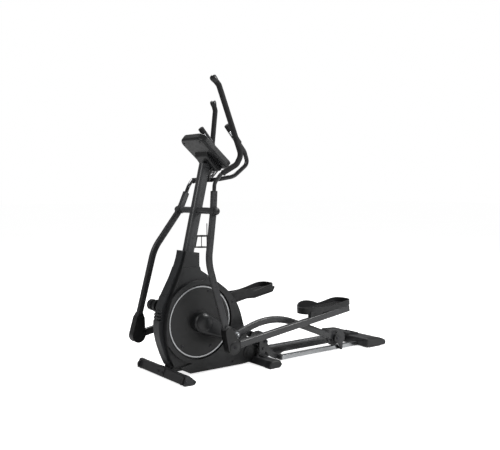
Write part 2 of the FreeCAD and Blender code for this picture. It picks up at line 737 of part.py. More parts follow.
def pedal_plan(inset, toe, heel):
    """The pedal from above, as a face in the XY plane: a long rounded tread."""
    length = PEDAL_U[1] - PEDAL_U[0]
    spots = [Vector(inset, PEDAL_Y[0] + inset, 0), Vector(length - inset, PEDAL_Y[0] + inset, 0),
             Vector(length - inset, PEDAL_Y[1] - inset, 0), Vector(inset, PEDAL_Y[1] - inset, 0)]
    return Part.Face(path(spots, [toe, heel, heel, toe], closed=True))


def pedal(side):
    """Foot pedal: tray with a waved rim, tread ribs and a bracket on the arm."""
    length = PEDAL_U[1] - PEDAL_U[0]
    rim = [(0, 4), (70, 3), (150, -6), (230, -6), (320, 5), (length, 9)]
    shield = [(6, -4), (40, 17), (90, 27), (145, 20), (212, -6)]
    keel = [(length, -24), (320, -34), (0, -36)]
    side_view = joined([("curve", rim), ("line", [rim[-1]] + keel + [rim[0]])])
    body = pedal_plan(0, 71, 60).extrude(Vector(0, 0, 60)).translated(Vector(0, 0, -40))
    body = body.common(plate(side_view, 0, 300))
    body = body.cut(pedal_plan(9, 62, 51).extrude(Vector(0, 0, 60)).translated(Vector(0, 0, -19)))
    rise = pedal_plan(0, 71, 60).extrude(Vector(0, 0, 60)).translated(Vector(0, 0, -18))
    rise = rise.cut(pedal_plan(9, 62, 51).extrude(Vector(0, 0, 60)).translated(Vector(0, 0, -18)))
    humped = joined([("curve", shield), ("line", [shield[-1], (212, -18), (6, -18), shield[0]])])
    body = body.fuse(rise.common(plate(humped, 0, PEDAL_Y[0] + 70)))
    body = body.cut(pedal_plan(5, 66, 55).extrude(Vector(0, 0, 20)).translated(Vector(0, 0, -43)))
    for i in range(9):
        x = 50 + i * (length - 100) / 8
        body = body.fuse(block(x - 4, x + 4, PEDAL_Y[0] + 30, PEDAL_Y[1] - 30, -20, -16.5))
    body.rotate(Vector(0, 0, 0), Vector(0, -1, 0), PEDAL_TILT)
    body.translate(Vector(PEDAL_U[0], 0, PEDAL_TOP + 6))
    over_arm = block(500, 1000, PEDAL_ARM_Y[0] - 2, 260, -60, 21.5)
    wall = slab([(640, 40), (800, 4), (950, 2, 14), (972, 24, 10), (972, 36), (640, 52)], PEDAL_Y[0] + 8,
                PEDAL_Y[0] + 13)
    bracket = slab([(604, 21.5), (612, 54), (700, 48), (716, 21.5)], PEDAL_ARM_Y[0] + 2, PEDAL_ARM_Y[1] - 2)
    cross = slab([(620, 32), (626, 52), (700, 46), (700, 30)], PEDAL_Y[0] + 13, PEDAL_ARM_Y[0] + 2)
    body = body.cut(over_arm).fuse([wall, bracket, cross])
    return place_pedal(body.removeSplitter(), side)


# ---- roller arms -----------------------------------------------------------------------------------------
CRANK_PIN_R = 12.0
ROLLER_AXLE_R = 8.0
WHEEL_Y = (117.0, 143.0)
TINES = ((106.0, 112.0), (147.0, 153.0))


def place_roller_arm(shape, side):
    """Roller arm pieces are drawn along +X from the crank pin."""
    return on_side(in_frame(shape, crank_pin(side), roller_arm_angle(side)), side)


def roller_arm(side):
    """Arched tube from the crank pin hub to the fork that holds the roller."""
    y0, y1 = ROLLER_ARM_Y
    mid = (y0 + y1) / 2
    slope = turned((1, 0), math.degrees(math.atan2(-ARCH[1], LINK_R - ARCH[0])))
    fork = (LINK_R - 66 * slope[0], -66 * slope[1])
    spots = [Vector(22, mid, 11), Vector(ARCH[0], mid, ARCH[1]), Vector(fork[0], mid, fork[1])]
    line = path(spots, [0, 500, 0])
    tube = swept(line, flat_oval(42, y1 - y0, 9)).cut(swept(line, flat_oval(36, y1 - y0 - 6, 6)))
    hub = rod((0, 0), 33, 134, 166)
    foot = slab([added(fork, (-6, -19)), added(fork, (6, -22)), added(fork, (10, 18)), added(fork, (-6, 20))],
                TINES[0][0], y1)
    tube = tube.fuse([hub, foot, rod(KNEE_ON_ARM, 17, y0, y1 + 7)])
    for a, b in TINES:
        tube = tube.fuse(link((LINK_R, 0), 15, fork, 18, a, b))
    tube = tube.cut(rod((0, 0), CRANK_PIN_R, 100, 200))
    tube = tube.cut(rod((LINK_R, 0), ROLLER_AXLE_R + SHAFT_FIT, 90, 200))
    return place_roller_arm(tube.removeSplitter(), side)


def knee_on_arm():
    """The knee pivot in the roller arm's own frame, from the left side's closed linkage."""
    knee = added(elbow("left"), turned(KNEE, PEDAL_REST["left"]))
    pin = crank_pin("left")
    return turned((knee[0] - pin[0], knee[1] - pin[1]), -roller_arm_angle("left"))


KNEE_ON_ARM = knee_on_arm()


def crank_pin_bolt(side):
    """Pin through the roller arm's front hub, with its washer and domed nut."""
    bolt = rod((0, 0), CRANK_PIN_R, PIN_GAP_Y + 0.5, 166)
    washer = rod((0, 0), 22, 166, 169)
    dome = Part.makeSphere(18, Vector(0, 169, 0)).common(block(-30, 30, 169, 200, -30, 30))
    return place_roller_arm(bolt.fuse([washer, dome]).removeSplitter(), side)


def roller_carriage(side):
    """Roller axle with the eight-sided guard plate and the prong beside the rail."""
    centre = (24.0, 2.0)
    corners = [added(centre, turned((46, 0), 22.5 + 45 * i)) + (6,) for i in range(8)]
    guard = slab(corners, 167, 172)
    axle = rod((0, 0), ROLLER_AXLE_R, 104, 167)
    prong = slab([(26, -36), (56, -36), (50, -80, 3), (41, -84, 3)], 156, 167)
    foot = slab([(40, -62), (51, -62), (50, -80), (41, -80)], 146, 158)
    return on_side(in_frame(axle.fuse([guard, prong, foot]).removeSplitter(), roller(side), 0), side)


def roller_wheel(side):
    """Rail roller with a slightly crowned tread and recessed flanks."""
    wheel = softened(rod((0, 0), WHEEL_R, *WHEEL_Y), 4, round_rim)
    for y in (WHEEL_Y[0] - 1, WHEEL_Y[1] - 4):
        wheel = wheel.cut(rod((0, 0), 38, y, y + 5).cut(rod((0, 0), 16, y, y + 5)))
    wheel = wheel.cut(rod((0, 0), ROLLER_AXLE_R + SHAFT_FIT, 100, 160))
    return on_side(in_frame(wheel, roller(side), 0), side)


def round_rim(edge):
    return abs(edge.BoundBox.XLength - 2 * WHEEL_R) < 0.5 and edge.BoundBox.YLength < 0.5


# ---- console, fixed handlebar and bottle cage ----------------------------------------------------------
CONSOLE_TILT = -41.0      # the display slopes down to the rear
CONSOLE_TOP = (-4.0, 1391.0)
CONSOLE_LENGTH = 264.0
CONSOLE_HALF = 119.0
CONSOLE_DEPTH = 44.0
BUTTON_TRAVEL = 1.5


def place_console(shape):
    """Console pieces are drawn with the display up: X down the slope from its top edge."""
    moved = shape.copy()
    moved.rotate(Vector(0, 0, 0), Vector(0, -1, 0), CONSOLE_TILT)
    moved.translate(Vector(CONSOLE_TOP[0], 0, CONSOLE_TOP[1]))
    return moved


def console_plan(inset=0.0):
    spots = [Vector(inset, -CONSOLE_HALF + inset, 0), Vector(CONSOLE_LENGTH - inset, -CONSOLE_HALF + inset, 0),
             Vector(CONSOLE_LENGTH - inset, CONSOLE_HALF - inset, 0), Vector(inset, CONSOLE_HALF - inset, 0)]
    top = 50 - inset
    bottom = 32 - inset
    return Part.Face(path(spots, [top, bottom, bottom, top], closed=True))


def console_back():
    """Rear shell with a neck that sits on the mast."""
    depth = CONSOLE_DEPTH - 12
    shell = console_plan().extrude(Vector(0, 0, depth))
    shell = softened(shell, 14, lambda e: e.BoundBox.ZMax < 0.01)
    room = softened(console_plan(4).extrude(Vector(0, 0, depth)), 10, lambda e: e.BoundBox.ZMax < 0.01)
    shell = shell.cut(room.translated(Vector(0, 0, 4)))
    shell.translate(Vector(0, 0, -CONSOLE_DEPTH))
    neck = slab([(104, -41), (126, -64, 22), (236, -84, 18), (258, -58, 16), (256, -38)], -64, 64)
    neck = softened(neck, 10, at_y(64))
    neck = softened(neck, 10, at_y(-64))
    shell = place_console(shell.fuse(neck))
    return shell.cut(mast_line(1100, MAST_TOP)).removeSplitter()


def console_front():
    """Face panel with the display window, the button holes and the reading ledge."""
    panel = console_plan().extrude(Vector(0, 0, 12)).translated(Vector(0, 0, -12))
    panel = softened(panel, 5, lambda e: e.BoundBox.ZMin > -0.01)
    window = block(28, 138, -82, 82, -8, 20)
    panel = panel.cut(window)
    for y in BUTTON_YS:
        panel = panel.cut(Part.makeCylinder(10.5, 40, Vector(BUTTON_X, y, -20)))
    ledge = block(150, 160, -92, 92, -4, 13)
    ledge = softened(ledge, 3, lambda e: e.BoundBox.ZMin > 12.9)
    return place_console(panel.fuse(ledge).removeSplitter())


BUTTON_X = 198.0
BUTTON_YS = (-66.0, -22.0, 22.0, 66.0)


def display_lens():
    return place_console(block(28, 138, -82, 82, -8, -1.5))


def console_button(index):
    """A round key that stands 3 mm proud and slides in its hole."""
    key = Part.makeCylinder(10.2, 14, Vector(BUTTON_X, BUTTON_YS[index], -11))
    return place_console(softened(key, 1.5, lambda e: e.BoundBox.ZMin > 2.9))


FIXED_BAR_R = 12.5
HANDLEBAR = [Vector(104, 0, 1136), Vector(124, 62, 1126), Vector(206, 118, 1146), Vector(292, 137, 1222),
             Vector(268, 137, 1292), Vector(146, 137, 1434)]


def fixed_handlebar():
    """One bent tube, clamped behind the mast and rising to a grip on each side."""
    right = HANDLEBAR[1:]
    left = [Vector(p.x, -p.y, p.z) for p in reversed(right)]
    radii = [0, 60, 42, 70, 60, 60, 70, 42, 60, 0]
    tube = round_sweep(left + right, radii, FIXED_BAR_R)
    clamp = block(mast_x(1136) + 30, 118, -24, 24, 1112, 1152)
    return tube.fuse(clamp).cut(mast_line(1080, 1180)).removeSplitter()


def fixed_grips():
    """Grips with pulse plates on the ends of the fixed handlebar."""
    low = HANDLEBAR[4]
    high = HANDLEBAR[5]
    run = (high - low).normalize()
    start = high - run * 128
    grip = Part.makeCylinder(18, 136, start, run)
    grip = grip.cut(Part.makeCylinder(FIXED_BAR_R, 128, start, run))
    return both(softened(grip, 5, lambda e: (e.CenterOfMass - (start + run * 136)).Length < 1))


CAGE_X = 57.0
CAGE_R = 36.0
CAGE_Z = (727.0, 795.0)
CAGE_HOOK_Z = 868.0


def bottle_cage():
    """Wire cage behind the mast: floor, flat hoop, three uprights and a plate against the mast."""
    low, high = CAGE_Z
    gap = 35.8
    back = slab([(mast_x(low) + gap, low), (mast_x(low) + gap + 5, low), (mast_x(high) + gap + 5, high),
                 (mast_x(high) + gap, high)], -11, 11)
    floor = Part.makeCylinder(CAGE_R + 5, 4, Vector(CAGE_X, 0, low))
    shelf = block(mast_x(low) + gap + 1, CAGE_X, -9, 9, low + 1, low + 6)
    hoop = Part.makeCylinder(CAGE_R + 3.5, 6, Vector(CAGE_X, 0, high - 3))
    hoop = hoop.cut(Part.makeCylinder(CAGE_R - 1.5, 8, Vector(CAGE_X, 0, high - 4)))
    wires = []
    for degrees, top in ((-60, high), (60, high), (0, CAGE_HOOK_Z)):
        x, y = turned((CAGE_R, 0), degrees)
        wires.append(Part.makeCylinder(2.5, top - low - 2, Vector(CAGE_X + x, y, low + 2)))
    return back.fuse([floor, shelf, hoop] + wires).removeSplitter()


# ---- the whole machine ---------------------------------------------------------------------------------
def all_nodes():
    nodes = {
        "base_frame": base_frame(), "crank_bearings": crank_bearings(), "mast": mast(),
        "pivot_axle": pivot_axle(), "front_stabilizer": front_stabilizer(), "front_feet": front_feet(),
        "mid_stabilizer": mid_stabilizer(), "end_caps": end_caps(), "rear_stabilizer": rear_stabilizer(),
        "slide_rails": slide_rails(), "rail_beam": rail_beam(),
        "rail_brackets": rail_brackets(),
        "nose_cover": nose_cover(), "neck_front_cover": neck_front_cover(), "neck_covers": neck_covers(),
        "hub_caps": hub_caps(), "crank_axle": crank_axle(), "drive_pulley": drive_pulley(),
        "crank_arms": crank_arms(), "crank_discs": crank_discs(), "disc_rings": disc_rings(),
        "flywheel": flywheel(), "flywheel_axle": flywheel_axle(),
        "drive_belt": drive_belt(), "console_back": console_back(), "console_front": console_front(),
        "display_lens": display_lens(), "fixed_handlebar": fixed_handlebar(), "fixed_grips": fixed_grips(),
        "bottle_cage": bottle_cage(),
    }
    for i in range(len(BUTTON_YS)):
        nodes["button_%d" % (i + 1)] = console_button(i)
    for side in SIDES:
        for make in (housing, crank_boot, transport_wheel, swing_arm, elbow_cover, handlebar, hand_grip,
                     pedal_arm, pedal, roller_arm, crank_pin_bolt, roller_carriage, roller_wheel):
            nodes["%s_%s" % (make.__name__, side)] = make(side)
    return nodes


def stand_on_origin(nodes):
    """Move everything so that the footprint's middle is at the origin; returns the shift."""
    box = Part.makeCompound(list(nodes.values())).optimalBoundingBox(True, False)
    shift = Vector(-(box.XMin + box.XMax) / 2, 0, -box.ZMin)
    for shape in nodes.values():
        shape.translate(shift)
    return shift


def main():
    os.makedirs("parts", exist_ok=True)
    nodes = all_nodes()
    shift = stand_on_origin(nodes)
    for name, shape in nodes.items():
        shape.exportStep("parts/%s.step" % name)
    print("shift", shift.x, shift.z, "nodes", len(nodes))
    for side in SIDES:
        print(side, "pin", crank_pin(side), "elbow", elbow(side), "roller", roller(side),
              "arm", roller_arm_angle(side))
    print("bad", [n for n, s in nodes.items() if not s.isValid() or s.Volume <= 0])
    for name, shape in nodes.items():
        b = shape.BoundBox
        print("%-22s v %9.0f n %d  x %7.1f %7.1f  y %7.1f %7.1f  z %7.1f %7.1f" % (
            name, shape.Volume, len(shape.Solids), b.XMin - shift.x, b.XMax - shift.x, b.YMin, b.YMax,
            b.ZMin, b.ZMax))


main()
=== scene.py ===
"""Looks for the elliptical trainer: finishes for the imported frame, its fittings, and a plain studio."""

import json
import math

import bmesh
import bpy
from mathutils import Matrix, Vector


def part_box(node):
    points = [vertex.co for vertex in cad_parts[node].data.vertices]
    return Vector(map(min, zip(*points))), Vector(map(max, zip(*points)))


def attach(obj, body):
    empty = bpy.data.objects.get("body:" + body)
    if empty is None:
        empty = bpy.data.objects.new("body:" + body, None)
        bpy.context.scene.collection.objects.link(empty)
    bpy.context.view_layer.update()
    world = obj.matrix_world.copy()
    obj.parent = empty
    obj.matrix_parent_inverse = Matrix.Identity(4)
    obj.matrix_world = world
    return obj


bl_info = {
    "name": "Elliptical Trainer Looks",
    "version": (1, 0, 0),
    "blender": (4, 5, 0),
    "location": "3D View > Sidebar > Trainer",
    "description": "Finishes, screws, trims and studio for an elliptical trainer",
    "category": "Object",
}

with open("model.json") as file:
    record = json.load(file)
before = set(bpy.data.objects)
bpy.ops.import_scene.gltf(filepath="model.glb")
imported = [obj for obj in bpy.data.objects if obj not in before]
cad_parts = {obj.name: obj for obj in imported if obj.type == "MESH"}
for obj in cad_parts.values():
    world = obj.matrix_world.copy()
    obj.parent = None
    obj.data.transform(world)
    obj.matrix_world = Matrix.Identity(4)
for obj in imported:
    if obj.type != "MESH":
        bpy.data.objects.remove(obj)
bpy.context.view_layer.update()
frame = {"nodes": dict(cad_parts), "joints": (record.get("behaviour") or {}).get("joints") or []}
NODES = frame["nodes"]
JOINTS = {j["name"]: Vector(j["pos_m"]) for j in frame["joints"] if "pos_m" in j}
CRANK = JOINTS["crank"]
SIDES = (("left", -1), ("right", 1))
MM = 0.001
SWING_BETWEEN_SIDES = math.radians(28.1)     # the right swing arm stands this far from the left one at rest
CAMERA_FROM_CRANK = (-2.208, -3.430, 1.0815)     # X from the crank axis, Y and Z on the floor
LAMPS = (("key", (1.9, -2.9, 2.9), 1.2, 140), ("fill", (-3.2, -1.2, 2.4), 1.2, 28),
         ("rim", (0.4, 1.8, 4.0), 1.6, 90))      # name, place, size, watts
LAMP_TARGET = (0, 0, 0.7)
FLOOR_DROP = 0.0005
COVER_SCREWS = ((226, 74, 398), (226, 74, 30), (-70, 50, 613), (-142, 50, 524), (36, 50, 566))
DISC_SCREWS = ((59, 175), (-124, -129), (71, -150))
PEDAL_CORNER = (585 * MM, 76 * MM)      # front corner of the tread, along and above the pedal arm
PEDAL_TILT = {"left": math.radians(2.97), "right": math.radians(6.51)}
PEDAL_ARM_TILT = {"left": math.radians(7.67), "right": math.radians(11.21)}
BAR_HEIGHTS = (10, 16, 22, 30, 22, 16, 24, 32, 24, 14)


# ---- node materials ----------------------------------------------------------------------------
class Finish:
    """A material's node tree with the few links that every finish here is made of."""

    def __init__(self, name):
        self.material = bpy.data.materials.new(name)
        self.material.use_nodes = True
        self.tree = self.material.node_tree
        self.shader = self.tree.nodes["Principled BSDF"]
        self.place = self.tree.nodes.new("ShaderNodeTexCoord").outputs["Object"]

    def add(self, kind, **inputs):
        node = self.tree.nodes.new(kind)
        for key, value in inputs.items():
            node.inputs[key.replace("_", " ")].default_value = value
        return node

    def link(self, source, target):
        self.tree.links.new(source, target)

    def stretched(self, scale):
        node = self.add("ShaderNodeMapping")
        node.inputs["Scale"].default_value = scale
        self.link(self.place, node.inputs["Vector"])
        return node.outputs["Vector"]

    def noise(self, scale, detail=3.0, where=None):
        node = self.add("ShaderNodeTexNoise", Scale=scale, Detail=detail)
        self.link(where or self.place, node.inputs["Vector"])
        return node.outputs["Fac"]

    def cells(self, scale, where=None):
        node = self.add("ShaderNodeTexVoronoi", Scale=scale)
        self.link(where or self.place, node.inputs["Vector"])
        return node.outputs["Distance"]

    def ramp(self, value, low, high, start=0.3, end=0.7):
        node = self.tree.nodes.new("ShaderNodeMapRange")
        self.link(value, node.inputs["Value"])
        for key, number in (("From Min", start), ("From Max", end), ("To Min", low), ("To Max", high)):
            node.inputs[key].default_value = number
        return node.outputs["Result"]

    def tint(self, value, dark, light):
        node = self.tree.nodes.new("ShaderNodeMix")
        node.data_type = "RGBA"
        self.link(value, node.inputs["Factor"])
        node.inputs["A"].default_value = (*dark, 1)
        node.inputs["B"].default_value = (*light, 1)
        self.link(node.outputs["Result"], self.shader.inputs["Base Color"])

    def roughness(self, value, low, high):
        self.link(self.ramp(value, low, high), self.shader.inputs["Roughness"])

    def bump(self, value, depth, strength=0.5):
        node = self.add("ShaderNodeBump", Strength=strength, Distance=depth)
        self.link(value, node.inputs["Height"])
        self.link(node.outputs["Normal"], self.shader.inputs["Normal"])

    def constant(self, **values):
        for key, value in values.items():
            self.shader.inputs[key.replace("_", " ")].default_value = value


def shade(colour, factor):
    return tuple(min(1.0, c * factor) for c in colour)


def powder_coat(name, colour, gloss):
    """Baked powder paint: faint orange peel and slow changes of tone."""
    f = Finish(name)
    slow = f.noise(9.0)
    f.tint(f.ramp(slow, 0, 1), shade(colour, 0.9), shade(colour, 1.12))
    f.roughness(f.noise(60.0), gloss - 0.05, gloss + 0.07)
    f.bump(f.noise(1400.0, 1.0), 0.0002, 0.25)
    f.constant(Specular_IOR_Level=0.5)
    return f.material


def moulded_plastic(name, colour, gloss, grain=2300.0, depth=0.00025):
    """Injection-moulded plastic with a fine spark-eroded grain."""
    f = Finish(name)
    f.tint(f.ramp(f.noise(6.0), 0, 1), shade(colour, 0.9), shade(colour, 1.15))
    f.roughness(f.noise(35.0), gloss - 0.04, gloss + 0.08)
    f.bump(f.noise(grain, 2.0), depth, 0.35)
    return f.material


def lacquer(name, colour):
    """Gloss paint under a clear coat, with a little waviness."""
    f = Finish(name)
    f.tint(f.ramp(f.noise(14.0), 0, 1), shade(colour, 0.8), shade(colour, 1.4))
    f.roughness(f.noise(40.0), 0.26, 0.36)
    f.bump(f.noise(30.0, 1.0), 0.0001, 0.1)
    f.constant(Coat_Weight=0.3, Coat_Roughness=0.2)
    return f.material


def plated(name, colour, low, high, along=(1, 1, 1)):
    """Bright metal: plating, polish or brushing, by roughness and stretch of its grain."""
    f = Finish(name)
    where = f.stretched(along)
    f.tint(f.ramp(f.noise(12.0), 0, 1), shade(colour, 0.92), shade(colour, 1.05))
    f.roughness(f.noise(70.0, 4.0, where), low, high)
    f.bump(f.noise(900.0, 2.0, where), 0.0001, 0.12)
    f.constant(Metallic=1.0)
    return f.material


def soft_foam(name, colour):
    """Closed-cell foam sleeve: small pores and a dull sheen."""
    f = Finish(name)
    f.tint(f.ramp(f.cells(900.0), 0, 1, 0.05, 0.5), shade(colour, 0.6), shade(colour, 1.3))
    f.roughness(f.noise(50.0), 0.74, 0.9)
    f.bump(f.cells(900.0), 0.00015, 0.3)
    f.constant(Sheen_Weight=0.05, Sheen_Roughness=0.5, Specular_IOR_Level=0.3)
    return f.material


def tread_rubber(name, colour):
    """Rubber with dusty high spots."""
    f = Finish(name)
    f.tint(f.ramp(f.noise(80.0, 5.0), 0, 1), shade(colour, 0.8), shade(colour, 1.6))
    f.roughness(f.noise(90.0), 0.6, 0.85)
    f.bump(f.noise(700.0, 3.0), 0.0004, 0.4)
    return f.material


def screen_glass(name, colour):
    """Dark hard-coated window."""
    f = Finish(name)
    f.tint(f.ramp(f.noise(5.0), 0, 1), shade(colour, 0.8), shade(colour, 1.3))
    f.roughness(f.noise(30.0), 0.05, 0.11)
    f.constant(Coat_Weight=0.5, Coat_Roughness=0.03)
    return f.material


FINISHES = {}


def finish(name):
    return FINISHES[name]


def mix_finishes(look):
    """Make every material once, from the colours in the panel."""
    FINISHES.update({
        "frame_paint": powder_coat("charcoal_powder_coat", look.frame_colour, 0.36),
        # Painted light: the arm and mast coats are lighter copies of the frame powder coat, standing in for
        # the key light on their side faces.
        "arm_paint_key_lit": powder_coat("arm_powder_coat_key_lit", look.arm_lit_colour, 0.31),
        "mast_paint_key_lit": powder_coat("mast_powder_coat_key_lit", look.mast_lit_colour, 0.3),
        "housing": moulded_plastic("housing_plastic", look.housing_colour, 0.42),
        "neck": moulded_plastic("neck_plastic", shade(look.housing_colour, 1.2), 0.45),
        # Painted light: the nose cover, neck front cover and front feet use the housing plastic made 2.6
        # times lighter, standing in for the fill light and highlight on these front faces.
        "cover": moulded_plastic("front_cover_plastic_fill_lit", shade(look.housing_colour, 2.6), 0.42),
        "disc": moulded_plastic("disc_plastic", shade(look.housing_colour, 0.45), 0.4, 3000.0, 0.0001),
        "boot": moulded_plastic("crank_boot_plastic", shade(look.housing_colour, 1.1), 0.34),
        "pedal": moulded_plastic("pedal_plastic", shade(look.housing_colour, 0.9), 0.5, 1500.0, 0.0004),
        "console": moulded_plastic("console_plastic", shade(look.housing_colour, 1.1), 0.36),
        "trim": plated("silver_trim", (0.5, 0.51, 0.52), 0.3, 0.42),
        "chrome": plated("chrome_plate", (0.83, 0.84, 0.86), 0.05, 0.16),
        # Painted shade: the rails use a darker copy of the chrome plate, which dims the white floor's
        # reflection in them.
        "rail_chrome_shaded": plated("rail_chrome_shaded", (0.4, 0.41, 0.42), 0.14, 0.26, (1, 30, 30)),
        "steel": plated("turned_steel", (0.48, 0.49, 0.51), 0.28, 0.45, (1, 40, 1)),
        "alloy": plated("cast_alloy", (0.58, 0.59, 0.61), 0.35, 0.5),
        "iron": plated("machined_iron", (0.24, 0.24, 0.25), 0.35, 0.5, (1, 60, 1)),
        "zinc": plated("zinc_screw", (0.3, 0.31, 0.32), 0.3, 0.45),
        "black_zinc": plated("black_screw", (0.06, 0.06, 0.065), 0.3, 0.45),
        "gloss_black": lacquer("gloss_black_paint", (0.008, 0.008, 0.009)),
        "foam": soft_foam("grip_foam", (0.012, 0.012, 0.0125)),
        "rubber": tread_rubber("black_rubber", (0.014, 0.014, 0.0145)),
        "roller": tread_rubber("roller_urethane", (0.04, 0.04, 0.042)),
        "glass": screen_glass("display_window", (0.012, 0.014, 0.018)),
        "lcd": moulded_plastic("lcd_panel", (0.33, 0.38, 0.34), 0.25, 3000.0, 0.00002),
        "lcd_ink": moulded_plastic("lcd_segment", (0.03, 0.035, 0.035), 0.3, 3000.0, 0.00002),
        "button": moulded_plastic("button_plastic", (0.32, 0.33, 0.35), 0.42),
    })


# ---- mesh helpers --------------------------------------------------------------------------------
def facing(origin, axis, spin=0.0):
    """The transform that takes +Z to an axis at a point."""
    turn = Vector(axis).normalized().to_track_quat("Z", "Y").to_matrix().to_4x4()
    return Matrix.Translation(origin) @ turn @ Matrix.Rotation(spin, 4, "Z")


def turned(bm, profile, transform, steps=32, angle=math.tau):
    """Spin a chain of (radius, height) about Z, then move it into place."""
    verts = [bm.verts.new((r, 0, h)) for r, h in profile]
    edges = [bm.edges.new(pair) for pair in zip(verts, verts[1:])]
    full = abs(angle - math.tau) < 1e-6
    made = bmesh.ops.spin(bm, geom=verts + edges, cent=(0, 0, 0), axis=(0, 0, 1), angle=angle,
                          steps=steps, use_merge=full)
    grown = {v for f in bm.faces for v in f.verts if f.tag is False}
    ends = [g for g in made["geom_last"] if isinstance(g, bmesh.types.BMVert)]
    new = {v for v in grown | set(verts) | set(ends) if v.is_valid}
    bmesh.ops.transform(bm, matrix=transform, verts=list(new))
    bmesh.ops.remove_doubles(bm, verts=list(new), dist=1e-7)
    for f in bm.faces:
        f.tag = True


def bar(bm, size, transform, soften=0.0):
    """A box of a size, its edges bevelled, moved into place."""
    made = bmesh.ops.create_cube(bm, size=1.0)["verts"]
    bmesh.ops.scale(bm, vec=size, verts=made)
    if soften > 0:
        edges = list({e for v in made for e in v.link_edges})
        out = bmesh.ops.bevel(bm, geom=edges, offset=soften, segments=2, profile=0.5, affect="EDGES",
                              material=-1)
        made = list(set(out["verts"]) | {v for v in made if v.is_valid})
    bmesh.ops.transform(bm, matrix=transform, verts=made)
    for f in bm.faces:
        f.tag = True


def piece(name, bm, look, body, sharp=35.0):
    """Turn a bmesh into a finished object that moves with a body."""
    bmesh.ops.recalc_face_normals(bm, faces=bm.faces)
    mesh = bpy.data.meshes.new(name)
    bm.to_mesh(mesh)
    bm.free()
    mesh.shade_smooth()
    mesh.set_sharp_from_angle(angle=math.radians(sharp))
    made = bpy.data.objects.new(name, mesh)
    bpy.context.scene.collection.objects.link(made)
    mesh.materials.append(finish(look))
    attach(made, body)
    return made


def near_crank(x, y, z):
    """A point given in millimetres from the crank axis, on the floor."""
    return Vector((CRANK.x + x * MM, y * MM, z * MM))


def on_swing(side, sign, x, y, z):
    """A point given from the swing pivot, as the left arm stands at rest."""
    turn = Matrix.Rotation(0.0 if side == "left" else SWING_BETWEEN_SIDES, 3, "Y")
    pivot = JOINTS[side + "_swing"]
    rel = turn @ Vector((x * MM, 0, z * MM))
    return Vector((pivot.x + rel.x, sign * y * MM, pivot.z + rel.z))


def hex_bolt(bm, where, axis, radius, height):
    """A hexagon bolt head on a washer."""
    place = facing(where, axis)
    turned(bm, [(0, 0), (radius * 1.55, 0), (radius * 1.55, height * 0.22), (radius * 1.4, height * 0.3),
                (0, height * 0.3)], place)
    turned(bm, [(0, height * 0.3), (radius * 1.15, height * 0.3), (radius * 1.15, height * 0.85),
                (radius * 0.95, height), (0, height)], place, 6)


def socket_screw(bm, where, axis, radius):
    """A pan-head screw with a six-sided socket."""
    place = facing(where, axis)
    h = radius * 0.55
    turned(bm, [(radius, 0), (radius, h * 0.35), (radius * 0.82, h * 0.85), (radius * 0.55, h)], place, 28)
    turned(bm, [(radius * 0.55, h), (radius * 0.42, h), (radius * 0.4, h * 0.25), (0, h * 0.25)], place, 6)


# ---- what the operators do ---------------------------------------------------------------------
NODE_FINISH = {
    "base_frame": "frame_paint", "mast": "mast_paint_key_lit", "front_stabilizer": "frame_paint",
    "mid_stabilizer": "frame_paint", "rear_stabilizer": "frame_paint", "rail_beam": "arm_paint_key_lit",
    "rail_brackets": "arm_paint_key_lit", "crank_bearings": "steel", "pivot_axle": "arm_paint_key_lit",
    "crank_axle": "steel", "crank_arms": "steel", "flywheel_axle": "steel", "end_caps": "housing",
    "front_feet": "cover", "nose_cover": "cover", "neck_front_cover": "cover", "neck_covers": "neck",
    "hub_caps": "disc", "console_back": "console", "console_front": "console", "drive_pulley": "alloy",
    "disc_rings": "trim", "crank_discs": "disc", "flywheel": "iron", "drive_belt": "rubber",
    "slide_rails": "rail_chrome_shaded", "display_lens": "glass", "fixed_handlebar": "gloss_black",
    "fixed_grips": "foam", "bottle_cage": "gloss_black", "housing": "housing", "crank_boot": "boot",
    "elbow_cover": "disc", "pedal": "pedal", "transport_wheel": "rubber", "roller_wheel": "roller",
    "swing_arm": "arm_paint_key_lit", "pedal_arm": "arm_paint_key_lit", "roller_arm": "arm_paint_key_lit",
    "handlebar": "gloss_black", "hand_grip": "foam", "crank_pin_bolt": "zinc",
    "roller_carriage": "frame_paint", "button": "button",
}
CRISP = ("disc_rings", "display_lens", "button", "drive_belt", "flywheel", "crank_bearings")


def dress_node(name, width):
    """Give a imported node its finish, and a small round on its hard edges."""
    node = NODES[name]
    kind = name
    for tail in ("_left", "_right", "_1", "_2", "_3", "_4"):
        kind = kind.removesuffix(tail)
    node.data.materials.clear()
    node.data.materials.append(finish(NODE_FINISH[kind]))
    if kind in CRISP:
        return
    weld = node.modifiers.new("Weld", "WELD")
    weld.merge_threshold = 1e-5
    bevel = node.modifiers.new("Edge round", "BEVEL")
    bevel.width = width
    bevel.segments = 2
    bevel.limit_method = "ANGLE"
    bevel.angle_limit = math.radians(38)
    bevel.harden_normals = True
    normals = node.modifiers.new("Weighted normals", "WEIGHTED_NORMAL")
    normals.keep_sharp = True


def add_cover_screws(radius):
    for side, sign in SIDES:
        out = (0, sign, 0)
        bm = bmesh.new()
        for x, y, z in COVER_SCREWS:
            socket_screw(bm, near_crank(x, sign * y, z), out, radius)
        piece("cover_screws_" + side, bm, "black_zinc", "frame")
        bm = bmesh.new()
        for x, z in DISC_SCREWS:
            spot = CRANK + Vector((-sign * x * MM, sign * 66 * MM, -sign * z * MM))
            socket_screw(bm, spot, out, radius)
        piece("disc_screws_" + side, bm, "black_zinc", "crank")


